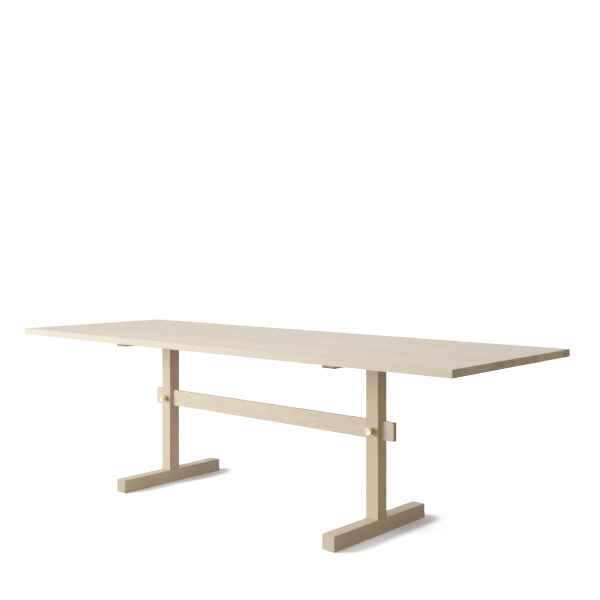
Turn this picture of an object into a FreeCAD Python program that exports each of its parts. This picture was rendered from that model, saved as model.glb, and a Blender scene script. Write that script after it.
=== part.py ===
import FreeCAD, Part
import math
import os

# A plain oak trestle table that knocks down: a glued-up top, two trestles, and one long
# stretcher board that passes through both posts and is locked by a brass pin in each.
# Millimetres. X runs along the table, Y from its front edge to its back edge, Z up.
# The origin is on the floor, under the middle of the top.

# Top
HEIGHT = 740.0
TOP_LENGTH = 2480.0
TOP_WIDTH = 850.0
TOP_THICKNESS = 30.0
BOARD_WIDTHS = (61.0, 182.0, 172.0, 168.0, 100.0, 102.0, 65.0)  # front to back
TOP_ARRIS = 1.5

# Trestles
POST_SIDE = 60.0
POST_OFFSET = 625.0  # each post's axis, from the middle of the table
CROSS_LENGTH = 600.0  # feet and bearers, along Y
FOOT_HEIGHT = 60.0
BEARER_THICKNESS = 30.0
FRAME_ARRIS = 1.2

# Tenons at both ends of a post, each through its foot or bearer and wedged
TENON_THICKNESS = 20.0  # along X
TENON_WIDTH = 40.0  # along Y
TENON_ROOT = 1.0  # each tenon starts this far inside the post, past its rounded edge
WEDGE_SPACING = 20.0
WEDGE_THICKNESS = 3.0
FOOT_WEDGE_DEPTH = 30.0
BEARER_WEDGE_DEPTH = 18.0

# Stretcher
STRETCHER_LENGTH = 1434.0
STRETCHER_DEPTH = 76.0
STRETCHER_THICKNESS = 22.0
STRETCHER_BOTTOM = 374.0
STRETCHER_ARRIS = 2.0
MORTISE_SIDE_GAP = 0.25
MORTISE_TOP_GAP = 0.5

# Brass draw pins, pushed in from the front
PIN_BELOW_MIDDLE = 2.0  # how far the pin's axis lies below the stretcher's middle
PIN_RADIUS = 6.0
PIN_FIT = 0.05  # radial clearance in the bores
PIN_FAR_CHEEK_DEPTH = 12.0
PIN_TIP_CHAMFER = 1.0
PIN_END_ROOM = 1.0
HEAD_LENGTH = 26.0
HEAD_NECK_RADIUS = 13.5
HEAD_RIM_RADIUS = 15.5
HEAD_RIM_WIDTH = 4.0
HEAD_ROUNDING = 2.0  # radius of the rim's front edge
HEAD_HOLLOW = 0.8  # how far the turned waist falls inside a straight taper
DISH_RADIUS = 12.5
DISH_DEPTH = 1.2  # the head's face is dished, inside a flat rim

# Screws that hold the top to the bearers
SCREW_PLACES = (-230.0, -80.0, 80.0, 230.0)  # along Y
OUTER_SLOT_TRAVEL = 8.0  # lets the top shrink and swell across its boards
SCREW_RADIUS = 4.0
SCREW_HOLE_RADIUS = 4.5
SCREW_HEAD_RADIUS = 6.5
SCREW_HEAD_HEIGHT = 4.4
SCREW_HEAD_CHAMFER = 1.3
SCREW_TIP_CHAMFER = 1.0
SCREW_TIP_Z = 722.0
SOCKET_ACROSS_FLATS = 5.0
SOCKET_DEPTH = 2.6
COUNTERBORE_RADIUS = 12.0
COUNTERBORE_DEPTH = 9.0
WASHER_RADIUS = 11.0
WASHER_THICKNESS = 1.6
INSERT_RADIUS = 6.0
INSERT_LENGTH = 14.0
INSERT_HOLE_DEPTH = 16.0
INSERT_FLANGE_RADIUS = 8.0
INSERT_FLANGE_THICKNESS = 1.5
THREAD_GAP = 0.05

# Glides under the feet
GLIDE_RADIUS = 14.0
GLIDE_THICKNESS = 5.0
GLIDE_PROUD = 2.0
GLIDE_OFFSET = 262.0  # along Y, from the post's axis
GLIDE_CHAMFER = 0.6
GLIDE_SCREW_RADIUS = 2.0
GLIDE_SCREW_HEAD_RADIUS = 4.2
GLIDE_SCREW_HEAD_Z = 1.2
GLIDE_SCREW_LENGTH = 20.0

# Levels that follow from the sizes above
TOP_UNDERSIDE = HEIGHT - TOP_THICKNESS
BEARER_UNDERSIDE = TOP_UNDERSIDE - BEARER_THICKNESS
FOOT_UNDERSIDE = GLIDE_PROUD
FOOT_TOP = FOOT_UNDERSIDE + FOOT_HEIGHT
STRETCHER_TOP = STRETCHER_BOTTOM + STRETCHER_DEPTH
PIN_Z = STRETCHER_BOTTOM + STRETCHER_DEPTH / 2 - PIN_BELOW_MIDDLE
SCREW_SEAT_Z = BEARER_UNDERSIDE + COUNTERBORE_DEPTH

X_AXIS = FreeCAD.Vector(1, 0, 0)
Y_AXIS = FreeCAD.Vector(0, 1, 0)
Z_AXIS = FreeCAD.Vector(0, 0, 1)


def block(low, high):
    """A box between two opposite corners."""
    low = FreeCAD.Vector(*low)
    size = FreeCAD.Vector(*high) - low
    return Part.makeBox(size.x, size.y, size.z, low)


def eased_block(low, high, arris):
    """A planed timber with every edge rounded over."""
    timber = block(low, high)
    return timber.makeFillet(arris, timber.Edges)


def rod(start, direction, radius, length):
    """A round bar."""
    return Part.makeCylinder(radius, length, FreeCAD.Vector(*start), direction)


def turned(profile, start, axis):
    """A turned piece: (radius, height) points joined by straight cuts, or by an arc through a
    point that ends in True, spun round a +Z spindle, then laid along axis from start."""
    points = [FreeCAD.Vector(point[0], 0, point[1]) for point in profile + profile[:1]]
    edges = []
    for index, point in enumerate(profile):
        following = (profile + profile[:1])[index + 1]
        if len(following) == 3:
            edges.append(Part.Arc(*points[index:index + 3]).toShape())
        elif len(point) == 2:
            edges.append(Part.makeLine(points[index], points[index + 1]))
    piece = Part.Face(Part.Wire(edges)).revolve(FreeCAD.Vector(0, 0, 0), Z_AXIS, 360)
    turn = FreeCAD.Rotation(Z_AXIS, axis)
    piece.Placement = FreeCAD.Placement(FreeCAD.Vector(*start), turn)
    return piece


def save(node, solids):
    """Writes one named piece, or a group of like pieces."""
    shape = solids[0] if len(solids) == 1 else Part.makeCompound(solids)
    shape.exportStep(os.path.join("parts", node + ".step"))


def slot_hole(x, y, z, radius, travel, height):
    """A vertical hole, stretched along Y by travel."""
    hole = rod((x, y - travel / 2, z), Z_AXIS, radius, height)
    if travel > 0:
        far_end = rod((x, y + travel / 2, z), Z_AXIS, radius, height)
        middle = block((x - radius, y - travel / 2, z), (x + radius, y + travel / 2, z + height))
        hole = hole.fuse(far_end).fuse(middle).removeSplitter()
    return hole


def slot_travel(y):
    """Only the outer screws sit in slots. The inner ones keep the top centred."""
    return OUTER_SLOT_TRAVEL if abs(y) > CROSS_LENGTH / 4 else 0.0


def tenon_wedges(post_x, outer_z, depth, direction):
    """A pair of hardwood wedges, thick at the tenon's end grain and driven in along direction."""
    wedges = []
    for side in (-1, 1):
        y = side * WEDGE_SPACING / 2
        half = WEDGE_THICKNESS / 2
        outline = Part.makePolygon([
            FreeCAD.Vector(post_x - TENON_THICKNESS / 2, y - half, outer_z),
            FreeCAD.Vector(post_x - TENON_THICKNESS / 2, y + half, outer_z),
            FreeCAD.Vector(post_x - TENON_THICKNESS / 2, y, outer_z + direction * depth),
            FreeCAD.Vector(post_x - TENON_THICKNESS / 2, y - half, outer_z),
        ])
        wedges.append(Part.Face(outline).extrude(X_AXIS * TENON_THICKNESS))
    return wedges


def tenon(post_x, low_z, high_z):
    """The tongue on a post's end, and the shape of the mortise that takes it."""
    return block(
        (post_x - TENON_THICKNESS / 2, -TENON_WIDTH / 2, low_z),
        (post_x + TENON_THICKNESS / 2, TENON_WIDTH / 2, high_z),
    )


def pin_bore(post_x):
    """The round hole for a draw pin, blind in the post's far cheek."""
    length = POST_SIDE / 2 + STRETCHER_THICKNESS / 2 + PIN_FAR_CHEEK_DEPTH + PIN_END_ROOM
    return rod((post_x, -POST_SIDE / 2, PIN_Z), Y_AXIS, PIN_RADIUS + PIN_FIT, length)


def make_top_boards():
    """Boards of uneven width, glued edge to edge, then the slab's outer edges are rounded over."""
    slab = eased_block(
        (-TOP_LENGTH / 2, -TOP_WIDTH / 2, TOP_UNDERSIDE),
        (TOP_LENGTH / 2, TOP_WIDTH / 2, HEIGHT),
        TOP_ARRIS,
    )
    for post_x in (-POST_OFFSET, POST_OFFSET):
        for y in SCREW_PLACES:
            hole = rod((post_x, y, TOP_UNDERSIDE), Z_AXIS, INSERT_RADIUS, INSERT_HOLE_DEPTH)
            seat = rod(
                (post_x, y, TOP_UNDERSIDE), Z_AXIS, INSERT_FLANGE_RADIUS, INSERT_FLANGE_THICKNESS
            )
            slab = slab.cut(hole.fuse(seat))
    front = -TOP_WIDTH / 2
    for number, width in enumerate(BOARD_WIDTHS, start=1):
        board = slab.common(block(
            (-TOP_LENGTH, front, TOP_UNDERSIDE - TOP_THICKNESS),
            (TOP_LENGTH, front + width, HEIGHT + TOP_THICKNESS),
        ))
        save(f"top_board_{number}", board.Solids)
        front += width


def make_foot(side, post_x):
    """The floor beam: mortised right through for the post, recessed below for two glides."""
    foot = eased_block(
        (post_x - POST_SIDE / 2, -CROSS_LENGTH / 2, FOOT_UNDERSIDE),
        (post_x + POST_SIDE / 2, CROSS_LENGTH / 2, FOOT_TOP),
        FRAME_ARRIS,
    )
    foot = foot.cut(tenon(post_x, FOOT_UNDERSIDE, FOOT_TOP))
    screw_tip_z = GLIDE_SCREW_HEAD_Z + GLIDE_SCREW_LENGTH
    for y in (-GLIDE_OFFSET, GLIDE_OFFSET):
        foot = foot.cut(rod((post_x, y, 0), Z_AXIS, GLIDE_RADIUS, GLIDE_THICKNESS))
        foot = foot.cut(rod((post_x, y, 0), Z_AXIS, GLIDE_SCREW_RADIUS, screw_tip_z))
    save(f"{side}_foot", foot.Solids)
    save(f"{side}_foot_wedges", tenon_wedges(post_x, FOOT_UNDERSIDE, FOOT_WEDGE_DEPTH, 1))


def make_bearer(side, post_x):
    """The thin beam under the top, counterbored from below for the screws that hold the top."""
    bearer = eased_block(
        (post_x - POST_SIDE / 2, -CROSS_LENGTH / 2, BEARER_UNDERSIDE),
        (post_x + POST_SIDE / 2, CROSS_LENGTH / 2, TOP_UNDERSIDE),
        FRAME_ARRIS,
    )
    bearer = bearer.cut(tenon(post_x, BEARER_UNDERSIDE, TOP_UNDERSIDE))
    for y in SCREW_PLACES:
        travel = slot_travel(y)
        through = slot_hole(
            post_x, y, BEARER_UNDERSIDE, SCREW_HOLE_RADIUS, travel, BEARER_THICKNESS
        )
        pocket = slot_hole(
            post_x, y, BEARER_UNDERSIDE, COUNTERBORE_RADIUS, travel, COUNTERBORE_DEPTH
        )
        bearer = bearer.cut(through).cut(pocket)
    save(f"{side}_bearer", bearer.Solids)
    save(f"{side}_bearer_wedges", tenon_wedges(post_x, TOP_UNDERSIDE, BEARER_WEDGE_DEPTH, -1))


def make_post(side, post_x):
    """The square post: a tenon at each end, a through mortise for the stretcher and a pin bore."""
    post = eased_block(
        (post_x - POST_SIDE / 2, -POST_SIDE / 2, FOOT_TOP),
        (post_x + POST_SIDE / 2, POST_SIDE / 2, BEARER_UNDERSIDE),
        FRAME_ARRIS,
    )
    shoulder = FRAME_ARRIS + TENON_ROOT
    post = post.fuse(tenon(post_x, FOOT_UNDERSIDE, FOOT_TOP + shoulder))
    post = post.fuse(tenon(post_x, BEARER_UNDERSIDE - shoulder, TOP_UNDERSIDE))
    mortise_half = STRETCHER_THICKNESS / 2 + MORTISE_SIDE_GAP
    post = post.cut(block(
        (post_x - POST_SIDE, -mortise_half, STRETCHER_BOTTOM),
        (post_x + POST_SIDE, mortise_half, STRETCHER_TOP + MORTISE_TOP_GAP),
    ))
    post = post.cut(pin_bore(post_x))
    wedges = tenon_wedges(post_x, FOOT_UNDERSIDE, FOOT_WEDGE_DEPTH, 1)
    wedges += tenon_wedges(post_x, TOP_UNDERSIDE, BEARER_WEDGE_DEPTH, -1)
    for wedge in wedges:
        post = post.cut(wedge)
    save(f"{side}_post", post.removeSplitter().Solids)


def make_stretcher():
    """One long board on edge, bored for a pin at each post."""
    stretcher = eased_block(
        (-STRETCHER_LENGTH / 2, -STRETCHER_THICKNESS / 2, STRETCHER_BOTTOM),
        (STRETCHER_LENGTH / 2, STRETCHER_THICKNESS / 2, STRETCHER_TOP),
        STRETCHER_ARRIS,
    )
    for post_x in (-POST_OFFSET, POST_OFFSET):
        stretcher = stretcher.cut(pin_bore(post_x))
    save("stretcher", stretcher.Solids)


def make_draw_pin(side, post_x):
    """A turned brass pin. Its shank crosses the post's front cheek, the stretcher and part of the
    far cheek, and its waisted head flares to a dished face that fingers can pull on."""
    shank_length = POST_SIDE / 2 + STRETCHER_THICKNESS / 2 + PIN_FAR_CHEEK_DEPTH
    rim = shank_length + HEAD_LENGTH - HEAD_RIM_WIDTH
    face = shank_length + HEAD_LENGTH
    waist_radius = (HEAD_NECK_RADIUS + HEAD_RIM_RADIUS) / 2 - HEAD_HOLLOW
    rounding_centre = HEAD_RIM_RADIUS - HEAD_ROUNDING
    rounding_middle = HEAD_ROUNDING * math.sqrt(0.5)
    dish_curve = (DISH_RADIUS ** 2 + DISH_DEPTH ** 2) / (2 * DISH_DEPTH)
    halfway_rise = dish_curve - math.sqrt(dish_curve ** 2 - (DISH_RADIUS / 2) ** 2)
    profile = [
        (0, 0),
        (PIN_RADIUS - PIN_TIP_CHAMFER, 0),
        (PIN_RADIUS, PIN_TIP_CHAMFER),
        (PIN_RADIUS, shank_length),
        (HEAD_NECK_RADIUS, shank_length),
        (waist_radius, (shank_length + rim) / 2, True),
        (HEAD_RIM_RADIUS, rim),
        (HEAD_RIM_RADIUS, face - HEAD_ROUNDING),
        (rounding_centre + rounding_middle, face - HEAD_ROUNDING + rounding_middle, True),
        (rounding_centre, face),
        (DISH_RADIUS, face),
        (DISH_RADIUS / 2, face - DISH_DEPTH + halfway_rise, True),
        (0, face - DISH_DEPTH),
    ]
    tip_y = -POST_SIDE / 2 + shank_length
    save(f"{side}_draw_pin", [turned(profile, (post_x, tip_y, PIN_Z), -Y_AXIS)])


def hex_socket(x, y, z):
    """The hexagonal recess in a screw's head, open downwards."""
    corner_radius = SOCKET_ACROSS_FLATS / 2 / math.cos(math.pi / 6)
    corners = []
    for corner in range(7):
        angle = corner * math.pi / 3
        corners.append(FreeCAD.Vector(
            x + corner_radius * math.cos(angle), y + corner_radius * math.sin(angle), z
        ))
    return Part.Face(Part.makePolygon(corners)).extrude(Z_AXIS * SOCKET_DEPTH)


def make_top_fixings(side, post_x):
    """Socket screws on wide washers, driven up into brass threaded inserts in the top."""
    screws = []
    washers = []
    inserts = []
    washer_z = SCREW_SEAT_Z - WASHER_THICKNESS
    head_z = washer_z - SCREW_HEAD_HEIGHT
    for y in SCREW_PLACES:
        profile = [
            (0, 0),
            (SCREW_HEAD_RADIUS - SCREW_HEAD_CHAMFER, 0),
            (SCREW_HEAD_RADIUS, SCREW_HEAD_CHAMFER),
            (SCREW_HEAD_RADIUS, SCREW_HEAD_HEIGHT),
            (SCREW_RADIUS, SCREW_HEAD_HEIGHT),
            (SCREW_RADIUS, SCREW_TIP_Z - head_z - SCREW_TIP_CHAMFER),
            (SCREW_RADIUS - SCREW_TIP_CHAMFER, SCREW_TIP_Z - head_z),
            (0, SCREW_TIP_Z - head_z),
        ]
        screw = turned(profile, (post_x, y, head_z), Z_AXIS)
        screws.append(screw.cut(hex_socket(post_x, y, head_z)))
        washer = rod((post_x, y, washer_z), Z_AXIS, WASHER_RADIUS, WASHER_THICKNESS)
        washer_hole = rod(
            (post_x, y, washer_z), Z_AXIS, SCREW_HOLE_RADIUS, WASHER_THICKNESS
        )
        washers.append(washer.cut(washer_hole))
        insert = rod((post_x, y, TOP_UNDERSIDE), Z_AXIS, INSERT_RADIUS, INSERT_LENGTH)
        insert = insert.fuse(rod(
            (post_x, y, TOP_UNDERSIDE), Z_AXIS, INSERT_FLANGE_RADIUS, INSERT_FLANGE_THICKNESS
        ))
        thread = rod((post_x, y, TOP_UNDERSIDE), Z_AXIS, SCREW_RADIUS + THREAD_GAP, INSERT_LENGTH)
        inserts.append(insert.cut(thread).removeSplitter())
    save(f"{side}_top_screws", screws)
    save(f"{side}_top_washers", washers)
    save(f"{side}_top_inserts", inserts)


def make_glides(side, post_x):
    """Two round plastic glides let into the foot, each on a countersunk screw."""
    glides = []
    screws = []
    taper = GLIDE_SCREW_HEAD_RADIUS - GLIDE_SCREW_RADIUS
    for y in (-GLIDE_OFFSET, GLIDE_OFFSET):
        countersink = [
            (0, 0),
            (GLIDE_SCREW_HEAD_RADIUS, 0),
            (GLIDE_SCREW_HEAD_RADIUS, GLIDE_SCREW_HEAD_Z),
            (GLIDE_SCREW_RADIUS, GLIDE_SCREW_HEAD_Z + taper),
            (GLIDE_SCREW_RADIUS, GLIDE_THICKNESS),
            (0, GLIDE_THICKNESS),
        ]
        disc = [
            (0, 0),
            (GLIDE_RADIUS - GLIDE_CHAMFER, 0),
            (GLIDE_RADIUS, GLIDE_CHAMFER),
            (GLIDE_RADIUS, GLIDE_THICKNESS),
            (0, GLIDE_THICKNESS),
        ]
        glide = turned(disc, (post_x, y, 0), Z_AXIS)
        glides.append(glide.cut(turned(countersink, (post_x, y, 0), Z_AXIS)))
        screw = [
            (0, 0),
            (GLIDE_SCREW_HEAD_RADIUS, 0),
            (GLIDE_SCREW_RADIUS, taper),
            (GLIDE_SCREW_RADIUS, GLIDE_SCREW_LENGTH - GLIDE_SCREW_RADIUS),
            (0, GLIDE_SCREW_LENGTH),
        ]
        screws.append(turned(screw, (post_x, y, GLIDE_SCREW_HEAD_Z), Z_AXIS))
    save(f"{side}_foot_glides", glides)
    save(f"{side}_glide_screws", screws)


os.makedirs("parts", exist_ok=True)
make_top_boards()
make_stretcher()
for side, post_x in (("left", -POST_OFFSET), ("right", POST_OFFSET)):
    make_foot(side, post_x)
    make_bearer(side, post_x)
    make_post(side, post_x)
    make_draw_pin(side, post_x)
    make_top_fixings(side, post_x)
    make_glides(side, post_x)
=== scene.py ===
import math
import bpy
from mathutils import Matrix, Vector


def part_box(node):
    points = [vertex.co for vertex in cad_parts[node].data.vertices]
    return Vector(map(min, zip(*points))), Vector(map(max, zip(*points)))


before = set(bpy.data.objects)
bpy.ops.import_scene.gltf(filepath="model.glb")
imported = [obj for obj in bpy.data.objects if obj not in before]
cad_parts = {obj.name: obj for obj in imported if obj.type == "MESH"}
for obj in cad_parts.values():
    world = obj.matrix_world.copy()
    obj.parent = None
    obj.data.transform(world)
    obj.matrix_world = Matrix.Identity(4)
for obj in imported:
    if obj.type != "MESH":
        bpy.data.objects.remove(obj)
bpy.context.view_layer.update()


# ---- Feet ------------------------------------------------------------------------------------
# Each trestle stands on one squared beam of solid oak, laid across the table. It is planed, its
# arrises are just broken, and it has the pale soap-and-white-oil finish of the whole table.

def put(tree, kind, *feeds, **settings):
    """Places one shader node. Feeds fill its inputs in order, as values or as other sockets."""
    node = tree.nodes.new("ShaderNode" + kind)
    for name, value in settings.items():
        setattr(node, name, value)
    for socket, feed in zip(node.inputs, feeds):
        if isinstance(feed, bpy.types.NodeSocket):
            tree.links.new(feed, socket)
        elif feed is not None:
            socket.default_value = feed
    return node


def sums(tree, operation, *feeds):
    """The result of one Math node."""
    return put(tree, "Math", *feeds, operation=operation).outputs[0]


def ramp(tree, value, start, end, low=0.0, high=1.0):
    """A smooth change from low to high while value goes from start to end."""
    node = put(tree, "MapRange", value, start, end, low, high, interpolation_type="SMOOTHSTEP")
    return node.outputs[0]


def cloud(tree, place, scale, detail=2.0, roughness=0.5):
    """Noise whose scale is the number of features per metre along each axis."""
    stretched = put(tree, "VectorMath", place, scale, operation="MULTIPLY").outputs[0]
    node = put(tree, "TexNoise")
    node.inputs["Scale"].default_value = 1.0
    node.inputs["Detail"].default_value = detail
    node.inputs["Roughness"].default_value = roughness
    tree.links.new(stretched, node.inputs["Vector"])
    return node


def blended(tree, share, first, second, mode="MIX"):
    """Two colours mixed by share."""
    node = put(tree, "Mix", data_type="RGBA", blend_type=mode)
    for socket, feed in ((node.inputs[0], share), (node.inputs[6], first), (node.inputs[7], second)):
        if isinstance(feed, bpy.types.NodeSocket):
            tree.links.new(feed, socket)
        else:
            socket.default_value = feed
    return node.outputs[2]


def new_group(name, inputs, outputs):
    """An empty shader node group with named inputs and outputs."""
    tree = bpy.data.node_groups.new(name, "ShaderNodeTree")
    for label, kind, value in inputs:
        socket = tree.interface.new_socket(label, in_out="INPUT", socket_type="NodeSocket" + kind)
        socket.default_value = value
    for label, kind in outputs:
        tree.interface.new_socket(label, in_out="OUTPUT", socket_type="NodeSocket" + kind)
    return tree, tree.nodes.new("NodeGroupInput")


def make_oak_figure():
    """Ring-porous oak as it lies in the log. Place runs along the grain in X, and Heart is where
    the tree's centre passes, so faces show straight, slanting or arched rings as they were sawn."""
    tree, given = new_group(
        "oak_figure",
        [
            ("Place", "Vector", (0, 0, 0)),
            ("Heart", "Vector", (0, 0.1, 0.1)),
            ("Tree", "Vector", (0, 0, 0)),
            ("Ring Width", "Float", 0.0026),
            ("Taper", "Float", 0.012),
            ("Wander", "Float", 0.02),
            ("Streak Place", "Float", 0.0),
            ("Streak Width", "Float", 0.03),
            ("Streak Depth", "Float", 0.0),
            ("End Grain", "Float", 0.0),
            ("End Tint", "Color", (0.8, 0.8, 0.8, 1)),
            ("Pale", "Color", (0.6, 0.5, 0.4, 1)),
            ("Deep", "Color", (0.4, 0.3, 0.2, 1)),
        ],
        [("Color", "Color"), ("Roughness", "Float"), ("Height", "Float")],
    )
    place = given.outputs["Place"]
    here = put(tree, "VectorMath", place, given.outputs["Tree"], operation="ADD").outputs[0]

    # The log isn't straight: its rings drift to and fro along the grain
    drift = cloud(tree, here, (1.1, 4.0, 4.0)).outputs["Color"]
    drift = put(tree, "VectorMath", drift, (0.5, 0.5, 0.5), operation="SUBTRACT").outputs[0]
    drift = put(
        tree, "VectorMath", drift, given.outputs["Wander"], operation="MULTIPLY"
    ).outputs[0]
    from_heart = put(
        tree, "VectorMath", place, given.outputs["Heart"], operation="SUBTRACT"
    ).outputs[0]
    from_heart = put(tree, "VectorMath", from_heart, drift, operation="ADD").outputs[0]
    along = put(tree, "SeparateXYZ", from_heart)
    across = put(tree, "CombineXYZ", 0.0, along.outputs[1], along.outputs[2]).outputs[0]
    radius = put(tree, "VectorMath", across, operation="LENGTH").outputs[1]
    tapered = sums(tree, "MULTIPLY_ADD", along.outputs[0], given.outputs["Taper"], radius)

    # Yearly rings: good and poor years differ in width and in tone
    years = sums(tree, "DIVIDE", tapered, given.outputs["Ring Width"])
    year_place = put(tree, "CombineXYZ", years, 0.0, 0.0).outputs[0]
    uneven = cloud(tree, year_place, (0.23, 1.0, 1.0), 1.0).outputs[0]
    years = sums(tree, "MULTIPLY_ADD", uneven, 3.0, years)
    season = sums(tree, "FRACT", years)
    early = ramp(tree, season, 0.0, 0.42, 1.0, 0.0)
    early = sums(tree, "MAXIMUM", early, ramp(tree, season, 0.93, 1.0))
    tone_place = put(tree, "CombineXYZ", sums(tree, "FLOOR", years), 7.0, 3.0).outputs[0]
    year_tone = put(tree, "TexWhiteNoise", tone_place).outputs[0]

    # Pores are short dark pits along the grain, thick in the early wood. Rays are thin plates
    # that run out from the heart: flecks on a radial face, and lines on an end
    pores = cloud(tree, here, (170.0, 2300.0, 2300.0), 1.0).outputs[0]
    early_pores = sums(tree, "MULTIPLY", ramp(tree, pores, 0.52, 0.64), early)
    late_pores = sums(tree, "MULTIPLY", ramp(tree, pores, 0.66, 0.74), 0.5)
    pores = sums(tree, "MAXIMUM", early_pores, late_pores)
    angle = sums(tree, "ARCTAN2", along.outputs[2], along.outputs[1])
    ray_place = put(tree, "CombineXYZ", along.outputs[0], angle, radius).outputs[0]
    rays = cloud(tree, ray_place, (55.0, 190.0, 45.0), 1.0).outputs[0]
    rays = ramp(tree, rays, 0.62, 0.70)

    # Fine fibre streaks, and slow clouds of darker heartwood
    fibres = cloud(tree, here, (5.0, 620.0, 620.0), 3.0, 0.6).outputs[0]
    bands = cloud(tree, here, (0.55, 22.0, 22.0), 2.0).outputs[0]

    # One dark streak down the board, as beside a knot or at the edge of the sapwood
    sideways = put(tree, "SeparateXYZ", place).outputs[1]
    wavy = cloud(tree, here, (1.6, 3.0, 3.0), 1.0).outputs[0]
    sideways = sums(tree, "MULTIPLY_ADD", wavy, 0.02, sideways)
    off_streak = sums(tree, "SUBTRACT", sideways, given.outputs["Streak Place"])
    off_streak = sums(tree, "ABSOLUTE", off_streak)
    off_streak = sums(tree, "DIVIDE", off_streak, given.outputs["Streak Width"])
    streak = sums(tree, "MULTIPLY", ramp(tree, off_streak, 0.3, 1.0, 1.0, 0.0),
                  given.outputs["Streak Depth"])

    # How much of the deep colour each of them brings
    depth = sums(tree, "MULTIPLY", early, 0.34)
    for part, share in ((year_tone, 0.22), (fibres, 0.45), (bands, 0.75), (pores, 0.30), (rays, -0.10)):
        depth = sums(tree, "MULTIPLY_ADD", part, share, depth)
    depth = sums(tree, "ADD", depth, streak)
    depth = sums(tree, "SUBTRACT", depth, 0.42)
    depth = put(tree, "Clamp", depth, 0.0, 1.6).outputs[0]
    colour = blended(tree, depth, given.outputs["Pale"], given.outputs["Deep"])
    end_tint = blended(tree, given.outputs["End Grain"], (1, 1, 1, 1), given.outputs["End Tint"])
    colour = blended(tree, 1.0, colour, end_tint, "MULTIPLY")

    roughness = sums(tree, "MULTIPLY_ADD", pores, 0.22, 0.52)
    roughness = sums(tree, "MULTIPLY_ADD", rays, -0.08, roughness)
    roughness = sums(tree, "MULTIPLY_ADD", given.outputs["End Grain"], 0.12, roughness)
    height = sums(tree, "MULTIPLY_ADD", pores, -1.0, 1.0)
    height = sums(tree, "MULTIPLY_ADD", fibres, 0.35, height)
    height = sums(tree, "MULTIPLY_ADD", early, -0.25, height)
    taken = tree.nodes.new("NodeGroupOutput")
    tree.links.new(colour, taken.inputs["Color"])
    tree.links.new(roughness, taken.inputs["Roughness"])
    tree.links.new(height, taken.inputs["Height"])
    return tree


OAK_FIGURE = make_oak_figure()
GRAIN_ORDER = {"X": (0, 1, 2), "Y": (1, 2, 0), "Z": (2, 0, 1)}


def new_finish(name):
    """A material with a bare Principled shader."""
    finish = bpy.data.materials.new(name)
    finish.use_nodes = True
    shader = finish.node_tree.nodes["Principled BSDF"]
    return finish, finish.node_tree, shader


def oak(name, grain, pale, deep, **figure):
    """White-oiled oak with its grain along one axis. Figure sets the group's inputs by name."""
    finish, tree, shader = new_finish(name)
    where = put(tree, "TexCoord")
    order = GRAIN_ORDER[grain]
    axes = put(tree, "SeparateXYZ", where.outputs["Object"]).outputs
    place = put(tree, "CombineXYZ", *[axes[axis] for axis in order]).outputs[0]
    facing = put(tree, "SeparateXYZ", where.outputs["Normal"]).outputs[order[0]]
    wood = put(tree, "Group", node_tree=OAK_FIGURE)
    tree.links.new(place, wood.inputs["Place"])
    tree.links.new(sums(tree, "ABSOLUTE", facing), wood.inputs["End Grain"])
    wood.inputs["Pale"].default_value = (*pale, 1)
    wood.inputs["Deep"].default_value = (*deep, 1)
    for label, value in figure.items():
        wood.inputs[label.replace("_", " ").title()].default_value = value
    relief = put(tree, "Bump")
    relief.inputs["Strength"].default_value = 0.35
    relief.inputs["Distance"].default_value = 0.0002
    tree.links.new(wood.outputs["Height"], relief.inputs["Height"])
    tree.links.new(wood.outputs["Color"], shader.inputs["Base Color"])
    tree.links.new(wood.outputs["Roughness"], shader.inputs["Roughness"])
    tree.links.new(relief.outputs["Normal"], shader.inputs["Normal"])
    return finish


def finish_node(node, finish):
    """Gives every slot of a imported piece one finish."""
    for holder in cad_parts[node].material_slots:
        holder.material = finish


FRAME_PALE = (0.69, 0.505, 0.33)
FRAME_DEEP = (0.56, 0.395, 0.24)
# The tint of each foot's sawn ends. The left one's are painted darker: painted shade where the key
# light falls strongly on that end.
FOOT_END_TINTS_AND_PAINTED_SHADE = (("left", -1, (0.74, 0.74, 0.80, 1)), ("right", 1, (0.96, 1.0, 1.16, 1)))
for side, sign, end_tint in FOOT_END_TINTS_AND_PAINTED_SHADE:
    low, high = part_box(f"{side}_foot")
    heart = (0.0, low.z - 0.035, (low.x + high.x) / 2 + sign * 0.11)
    finish_node(f"{side}_foot", oak(
        f"{side}_foot_oak", "Y", FRAME_PALE, FRAME_DEEP,
        heart=heart, tree=(sign * 2.3, 0.7, 0.1), ring_width=0.0032, end_tint=end_tint,
    ))


# ---- Glides ----------------------------------------------------------------------------------
# A moulded nylon disc is let into the underside of each foot near its ends and held by one
# countersunk steel screw. It lifts the oak just clear of a damp or uneven floor.

def moulded_plastic(name, colour):
    """Matt moulded plastic with a fine spark-eroded grain and a few rubbed patches."""
    finish, tree, shader = new_finish(name)
    place = put(tree, "TexCoord").outputs["Object"]
    grain = cloud(tree, place, (2600.0, 2600.0, 2600.0), 2.0).outputs[0]
    rubbed = cloud(tree, place, (90.0, 90.0, 90.0), 3.0).outputs[0]
    worn = tuple(min(1.0, part * 1.35) for part in colour)
    tree.links.new(
        blended(tree, ramp(tree, rubbed, 0.5, 0.75), (*colour, 1), (*worn, 1)),
        shader.inputs["Base Color"],
    )
    tree.links.new(ramp(tree, rubbed, 0.3, 0.8, 0.62, 0.42), shader.inputs["Roughness"])
    relief = put(tree, "Bump")
    relief.inputs["Strength"].default_value = 0.25
    relief.inputs["Distance"].default_value = 0.0001
    tree.links.new(grain, relief.inputs["Height"])
    tree.links.new(relief.outputs["Normal"], shader.inputs["Normal"])
    return finish


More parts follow.
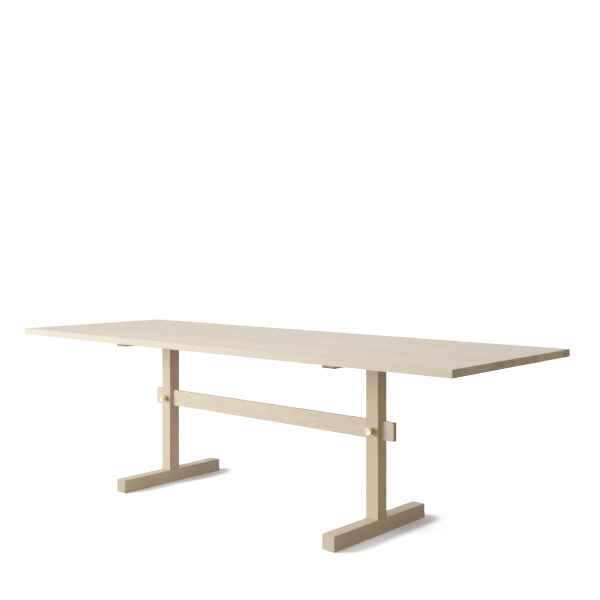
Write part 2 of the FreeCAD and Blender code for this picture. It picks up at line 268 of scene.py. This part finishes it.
def plated_steel(name):
    """Zinc-plated steel: grey, faintly mottled, with fine turning marks."""
    finish, tree, shader = new_finish(name)
    shader.inputs["Metallic"].default_value = 1.0
    place = put(tree, "TexCoord").outputs["Object"]
    mottle = cloud(tree, place, (420.0, 420.0, 420.0), 3.0, 0.6).outputs[0]
    marks = cloud(tree, place, (300.0, 300.0, 9000.0), 1.0).outputs[0]
    tree.links.new(
        blended(tree, ramp(tree, mottle, 0.3, 0.7), (0.60, 0.60, 0.61, 1), (0.42, 0.42, 0.44, 1)),
        shader.inputs["Base Color"],
    )
    tree.links.new(ramp(tree, mottle, 0.3, 0.7, 0.30, 0.48), shader.inputs["Roughness"])
    relief = put(tree, "Bump")
    relief.inputs["Strength"].default_value = 0.2
    relief.inputs["Distance"].default_value = 0.00005
    tree.links.new(marks, relief.inputs["Height"])
    tree.links.new(relief.outputs["Normal"], shader.inputs["Normal"])
    return finish


GLIDE_NYLON = moulded_plastic("glide_nylon", (0.30, 0.27, 0.235))
SCREW_STEEL = plated_steel("screw_steel")
for side in ("left", "right"):
    finish_node(f"{side}_foot_glides", GLIDE_NYLON)
    finish_node(f"{side}_glide_screws", SCREW_STEEL)


# ---- Posts -----------------------------------------------------------------------------------
# One square oak post stands on each foot, flush with it on both outer faces. It is mortised
# through for the stretcher, and its tenons pass through the foot and the bearer.

for side, sign in (("left", -1), ("right", 1)):
    low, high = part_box(f"{side}_post")
    heart = (0.0, (low.x + high.x) / 2 + sign * 0.085, low.y - 0.055)
    finish_node(f"{side}_post", oak(
        f"{side}_post_oak", "Z", FRAME_PALE, FRAME_DEEP,
        heart=heart, tree=(sign * 1.7, 0.2, 0.4), ring_width=0.0027, end_tint=(0.8, 0.8, 0.8, 1),
    ))


# ---- Tenon wedges ----------------------------------------------------------------------------
# Two thin oak wedges are driven into saw cuts in the end of each tenon, below the foot and above
# the bearer, and planed off flush. They are darker, because what shows is their end grain.

for side, sign in (("left", -1), ("right", 1)):
    low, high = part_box(f"{side}_foot_wedges")
    wedge_oak = oak(
        f"{side}_wedge_oak", "Z", (0.46, 0.33, 0.21), (0.30, 0.20, 0.12),
        heart=(0.0, low.x - 0.06, low.y - 0.09), tree=(sign * 0.9, 0.5, 0.2),
        end_tint=(0.85, 0.85, 0.85, 1),
    )
    finish_node(f"{side}_foot_wedges", wedge_oak)
    finish_node(f"{side}_bearer_wedges", wedge_oak)


# ---- Bearers ---------------------------------------------------------------------------------
# A thin oak beam caps each post and carries the top. It is counterbored from below for the
# screws, and the outer holes are slots, so that the top can move across its boards. Its oak is
# painted darker than the rest: painted shade for the shadow that falls under the top.

# These colours are darkened as painted shade, for the shadow under the top
BEARER_PALE_PAINTED_SHADE = (0.44, 0.325, 0.21)
BEARER_DEEP_PAINTED_SHADE = (0.34, 0.245, 0.15)
for side, sign in (("left", -1), ("right", 1)):
    low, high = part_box(f"{side}_bearer")
    heart = (0.0, low.z - 0.16, (low.x + high.x) / 2 - sign * 0.05)
    finish_node(f"{side}_bearer", oak(
        f"{side}_bearer_painted_shade_oak", "Y", BEARER_PALE_PAINTED_SHADE, BEARER_DEEP_PAINTED_SHADE,
        heart=heart, tree=(sign * 3.1, 0.3, 0.9), ring_width=0.0030, end_tint=(1.0, 1.06, 1.2, 1),
    ))


# ---- Stretcher -------------------------------------------------------------------------------
# One long flat-sawn oak board on edge ties the trestles. It is pushed through both posts and
# stands out past them, with its edges rounded by hand.

STRETCHER_PALE = (0.76, 0.58, 0.405)
STRETCHER_DEEP = (0.62, 0.45, 0.295)
low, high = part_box("stretcher")
middle = (low + high) / 2
finish_node("stretcher", oak(
    "stretcher_oak", "X", STRETCHER_PALE, STRETCHER_DEEP,
    heart=(0.0, high.y + 0.075, middle.z + 0.012), tree=(0.4, 5.1, 0.0),
    ring_width=0.0030, taper=0.022, wander=0.03, end_tint=(0.62, 0.63, 0.62, 1),
))


# ---- Draw pins -------------------------------------------------------------------------------
# A solid brass pin is pushed through each post and the stretcher from the front. It is turned
# from bar and left unlacquered, and its head widens to a dished face in a rounded rim.

def turned_brass(name, axis_x, axis_z):
    """Brass off the lathe: fine rings about the pin's own axis, and a skin that hands have dulled."""
    finish, tree, shader = new_finish(name)
    shader.inputs["Metallic"].default_value = 1.0
    place = put(tree, "TexCoord").outputs["Object"]
    centred = put(
        tree, "VectorMath", place, (axis_x, 0.0, axis_z), operation="SUBTRACT"
    ).outputs[0]
    parts = put(tree, "SeparateXYZ", centred).outputs
    across = put(tree, "CombineXYZ", parts[0], 0.0, parts[2]).outputs[0]
    radius = put(tree, "VectorMath", across, operation="LENGTH").outputs[1]
    spindle = put(tree, "CombineXYZ", radius, parts[1], 0.0).outputs[0]
    rings = cloud(tree, spindle, (5200.0, 5200.0, 1.0), 2.0, 0.7).outputs[0]
    handled = cloud(tree, place, (160.0, 160.0, 160.0), 3.0, 0.6).outputs[0]
    tree.links.new(
        blended(tree, ramp(tree, handled, 0.35, 0.75), (0.86, 0.66, 0.38, 1), (0.70, 0.50, 0.26, 1)),
        shader.inputs["Base Color"],
    )
    tree.links.new(ramp(tree, handled, 0.3, 0.75, 0.24, 0.40), shader.inputs["Roughness"])
    relief = put(tree, "Bump")
    relief.inputs["Strength"].default_value = 0.3
    relief.inputs["Distance"].default_value = 0.00006
    tree.links.new(rings, relief.inputs["Height"])
    tree.links.new(relief.outputs["Normal"], shader.inputs["Normal"])
    return finish


for side in ("left", "right"):
    low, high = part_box(f"{side}_draw_pin")
    axis = (low + high) / 2
    finish_node(f"{side}_draw_pin", turned_brass(f"{side}_pin_brass", axis.x, axis.z))


# ---- Top -------------------------------------------------------------------------------------
# Seven oak boards of uneven width are glued edge to edge and planed as one slab. Each board is
# its own piece of a log: some flat-sawn with arches, some rift-sawn and straight.

TOP_PALE = (0.70, 0.55, 0.385)
TOP_DEEP = (0.58, 0.435, 0.285)
# For each board, front to back: how far its log's centre lies across from it and below it, its
# tone, the tint of its sawn end, and its dark streak's place across the board and depth
TOP_BOARDS = (
    {"across": 0.11, "below": 0.06, "tone": 1.00, "end": (0.92, 0.9, 0.8), "streak": (0.0, 0.0)},
    {"across": 0.01, "below": 0.07, "tone": 1.03, "end": (1.05, 1, 0.94), "streak": (0.0, 0.0)},
    {"across": 0.06, "below": 0.05, "tone": 0.99, "end": (0.94, 0.98, 0.85), "streak": (-0.017, 0.6)},
    {"across": -0.02, "below": 0.09, "tone": 1.02, "end": (0.975, 0.93, 0.87), "streak": (0.055, 0.25)},
    {"across": 0.09, "below": 0.08, "tone": 0.98, "end": (1.17, 1.2, 1.06), "streak": (0.0, 0.0)},
    {"across": -0.10, "below": 0.05, "tone": 1.01, "end": (1.11, 1.09, 0.86), "streak": (0.03, 0.12)},
    {"across": 0.07, "below": 0.10, "tone": 0.99, "end": (0.86, 0.84, 0.77), "streak": (0.0, 0.0)},
)
for number, board in enumerate(TOP_BOARDS, start=1):
    low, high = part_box(f"top_board_{number}")
    middle = (low + high) / 2
    streak_across, streak_depth = board["streak"]
    finish_node(f"top_board_{number}", oak(
        f"top_board_{number}_oak", "X",
        [part * board["tone"] for part in TOP_PALE],
        [part * board["tone"] for part in TOP_DEEP],
        heart=(0.0, middle.y + board["across"], low.z - board["below"]),
        tree=(number * 3.7, number * 1.3, 0.0),
        ring_width=0.0029, taper=0.016, wander=0.03, end_tint=(*board["end"], 1),
        streak_place=middle.y + streak_across, streak_width=0.02, streak_depth=streak_depth,
    ))


# ---- Top fixings -----------------------------------------------------------------------------
# Plated screws with wide washers go up through the bearers into brass threaded inserts that are
# let into the underside of the top. They let the top come off.

def machined_brass(name):
    """Small brass parts straight off the machine, with a dull mottled skin."""
    finish, tree, shader = new_finish(name)
    shader.inputs["Metallic"].default_value = 1.0
    place = put(tree, "TexCoord").outputs["Object"]
    mottle = cloud(tree, place, (500.0, 500.0, 500.0), 3.0).outputs[0]
    tree.links.new(
        blended(tree, ramp(tree, mottle, 0.3, 0.7), (0.74, 0.56, 0.31, 1), (0.56, 0.40, 0.20, 1)),
        shader.inputs["Base Color"],
    )
    tree.links.new(ramp(tree, mottle, 0.3, 0.7, 0.35, 0.5), shader.inputs["Roughness"])
    return finish


INSERT_BRASS = machined_brass("insert_brass")
for side in ("left", "right"):
    finish_node(f"{side}_top_screws", SCREW_STEEL)
    finish_node(f"{side}_top_washers", SCREW_STEEL)
    finish_node(f"{side}_top_inserts", INSERT_BRASS)


# ---- Studio ----------------------------------------------------------------------------------
# The table stands on white paper that glows by itself, a painted light that burns it out a hand's
# breadth from its feet, so that shadow stays only close round them. Soft lights stand to the left
# of the front, above, behind and in front, in a room whose walls glow low down.

def light_path_split(tree, seen, felt):
    """One shader for what the camera sees, and another for the light that the table receives."""
    split = put(tree, "MixShader")
    tree.links.new(put(tree, "LightPath").outputs["Is Camera Ray"], split.inputs[0])
    tree.links.new(felt, split.inputs[1])
    tree.links.new(seen, split.inputs[2])
    return split.outputs[0]


def off_nearer_foot(tree, spot):
    """How far a spot on the floor lies from the middle line of the nearer foot."""
    low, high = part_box("right_foot")
    foot_middle = (low.x + high.x) / 2
    line_end = high.y - (high.x - low.x) / 2
    mirrored = put(tree, "VectorMath", spot, operation="ABSOLUTE").outputs[0]
    parts = put(tree, "SeparateXYZ", mirrored).outputs
    past_side = sums(tree, "SUBTRACT", parts[0], foot_middle)
    past_end = sums(tree, "MAXIMUM", sums(tree, "SUBTRACT", parts[1], line_end), 0.0)
    gap = put(tree, "CombineXYZ", past_side, past_end, 0.0).outputs[0]
    return put(tree, "VectorMath", gap, operation="LENGTH").outputs[1]


PAPER_HALF = 30.0
# Where the paper's painted glow starts and is full, and how strong it gets: round each foot, and as
# measured from under the middle of the table
PAINTED_GLOW_BY_FEET = (0.07, 0.13, 1.35)
PAINTED_GLOW_ALL_ROUND = (0.88, 1.55, 2.0)
paper_mesh = bpy.data.meshes.new("studio_floor")
corners = [(x * PAPER_HALF, y * PAPER_HALF, 0) for x, y in ((-1, -1), (1, -1), (1, 1), (-1, 1))]
paper_mesh.from_pydata(corners, [], [(0, 1, 2, 3)])
floor = bpy.data.objects.new("studio_floor", paper_mesh)
bpy.context.scene.collection.objects.link(floor)

paper = bpy.data.materials.new("studio_paper")
paper.use_nodes = True
tree = paper.node_tree
tree.nodes.clear()
spot = put(tree, "TexCoord").outputs["Object"]
off_middle = put(tree, "VectorMath", spot, operation="LENGTH").outputs[1]
# Painted light: the paper emits light itself, weakly close to the feet and fully farther off
start, full, strength = PAINTED_GLOW_BY_FEET
near_glow = ramp(tree, off_nearer_foot(tree, spot), start, full, 0.0, strength)
start, full, strength = PAINTED_GLOW_ALL_ROUND
far_glow = ramp(tree, off_middle, start, full, 0.0, strength)
glow = sums(tree, "MAXIMUM", near_glow, far_glow)
glowing = put(tree, "Emission", (1, 1, 1, 1), glow).outputs[0]
white = put(tree, "BsdfDiffuse", (1.2, 1.22, 1.25, 1)).outputs[0]
seen = put(tree, "AddShader", white, glowing).outputs[0]
felt = put(tree, "BsdfDiffuse", (0.20, 0.196, 0.19, 1)).outputs[0]

# Seen from below the paper is clear, so that the table's underside can be looked at
one_sided = put(tree, "MixShader")
tree.links.new(put(tree, "NewGeometry").outputs["Backfacing"], one_sided.inputs[0])
tree.links.new(light_path_split(tree, seen, felt), one_sided.inputs[1])
tree.links.new(put(tree, "BsdfTransparent").outputs[0], one_sided.inputs[2])
tree.links.new(one_sided.outputs[0], put(tree, "OutputMaterial").inputs["Surface"])
paper_mesh.materials.append(paper)

# The room's white walls glow low down, all round, and its ceiling is dim
WALL_TOP = (0.05, 0.6)
WALL_GLOW = 1.08
CEILING_GLOW = 0.12
BACKDROP = 2.45
room = bpy.data.worlds.new("studio_room")
room.use_nodes = True
bpy.context.scene.world = room
tree = room.node_tree
tree.nodes.clear()
rise = put(tree, "SeparateXYZ", put(tree, "TexCoord").outputs["Generated"]).outputs[2]
glow = ramp(tree, sums(tree, "ABSOLUTE", rise), *WALL_TOP, WALL_GLOW, CEILING_GLOW)
seen = put(tree, "Background", (1, 1, 1, 1), BACKDROP).outputs[0]
felt = put(tree, "Background", (1.0, 0.985, 0.96, 1), glow).outputs[0]
tree.links.new(light_path_split(tree, seen, felt), put(tree, "OutputWorld").inputs["Surface"])


def softbox(name, place, aim, wide, tall, power):
    """A flat soft light at place, turned to face aim."""
    lamp = bpy.data.lights.new(name, "AREA")
    lamp.shape = "RECTANGLE"
    lamp.size = wide
    lamp.size_y = tall
    lamp.energy = power
    stand = bpy.data.objects.new(name, lamp)
    stand.location = place
    heading = [to - at for to, at in zip(aim, place)]
    ground = math.hypot(heading[0], heading[1])
    stand.rotation_euler = (
        math.pi / 2 + math.atan2(heading[2], ground), 0.0, math.atan2(-heading[0], heading[1])
    )
    bpy.context.scene.collection.objects.link(stand)
    return stand


def only_these(name, pieces):
    """A set of pieces that one light is kept to."""
    chosen = bpy.data.collections.new(name)
    for piece in pieces:
        chosen.objects.link(piece)
    return chosen


# Cards near the floor and to the left fill the polished pins' reflections, and light nothing else
pins = only_these("lit_by_cards", [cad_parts[f"{side}_draw_pin"] for side in ("left", "right")])
for card in (
    softbox("floor_card", (-0.3, -1.6, 0.03), (-0.3, -1.6, 1.0), 5.0, 2.4, 38.0),
    softbox("side_card", (-2.8, 0.8, 0.6), (0.0, 0.0, 0.4), 3.4, 1.2, 24.0),
):
    card.visible_camera = False
    card.light_linking.receiver_collection = pins

softbox("key_light", (-2.3, -2.9, 1.25), (0.0, 0.0, 0.45), 1.8, 1.6, 172.0)
softbox("top_light", (0.0, 0.4, 3.4), (0.1, 0.1, 0.7), 2.6, 2.0, 50.0)
softbox("backdrop_glow", (-3.2, 4.0, 1.3), (0.4, 0.0, 0.9), 7.0, 2.4, 130.0)
softbox("front_light", (0.5, -2.3, 2.9), (0.5, 0.0, 0.1), 1.6, 1.2, 58.0)

# The paper alone gets a second share of the key, so that it burns out but still takes a shadow
floor_light = softbox("floor_light", (-2.1, -3.1, 1.9), (0.0, 0.0, 0.45), 1.8, 1.7, 420.0)
floor_light.light_linking.receiver_collection = only_these("lit_by_floor_light", [floor])

# A narrow light below the clear side of the paper shows what is under the feet
under_light = softbox("under_light", (0.0, 0.0, -0.6), (0.0, 0.0, 1.0), 1.7, 1.0, 3.0)
under_light.data.spread = math.radians(24)
under_light.visible_camera = False
table_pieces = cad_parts
low_pieces = [piece for name, piece in table_pieces.items() if "foot" in name or "glide" in name]
under_light.light_linking.receiver_collection = only_these("lit_from_below", low_pieces)
under_light.light_linking.blocker_collection = only_these("shading_from_below", table_pieces.values())

# The camera stands off the right front corner, a little higher than the top, and looks level
CAMERA_PLACE = (2.757, -2.863, 1.0965)
CAMERA_HEADING = 41.54
CAMERA_LENS = 53.77
CAMERA_DROP = -0.07205  # level lens, with the frame moved down
camera_data = bpy.data.cameras.new("camera")
camera_data.lens = CAMERA_LENS
camera_data.sensor_width = 36.0
camera_data.shift_y = CAMERA_DROP
camera = bpy.data.objects.new("camera", camera_data)
camera.location = CAMERA_PLACE
camera.rotation_euler = (math.pi / 2, 0.0, math.radians(CAMERA_HEADING))
bpy.context.scene.collection.objects.link(camera)
bpy.context.scene.camera = camera

# Bright tones roll off towards white, as on film, so that pale oak doesn't burn out
FILM_WHITE = 2.3
FILM_CEILING = 1.11  # what the roll-off would reach far past white
FILM_STEPS = 9
STEP_BUNCHING = 1.5  # more of the curve's points lie in the dark tones, where it bends most
shown = bpy.context.scene.view_settings
shown.view_transform = "Standard"
shown.look = "None"
shown.use_curve_mapping = True
film = shown.curve_mapping
film.white_level = (FILM_WHITE, FILM_WHITE, FILM_WHITE)
shoulder = film.curves[3]
for step in range(1, FILM_STEPS):
    share = (step / FILM_STEPS) ** STEP_BUNCHING
    shoulder.points.new(share, FILM_CEILING * (1 - math.exp(-FILM_WHITE * share)))
film.update()
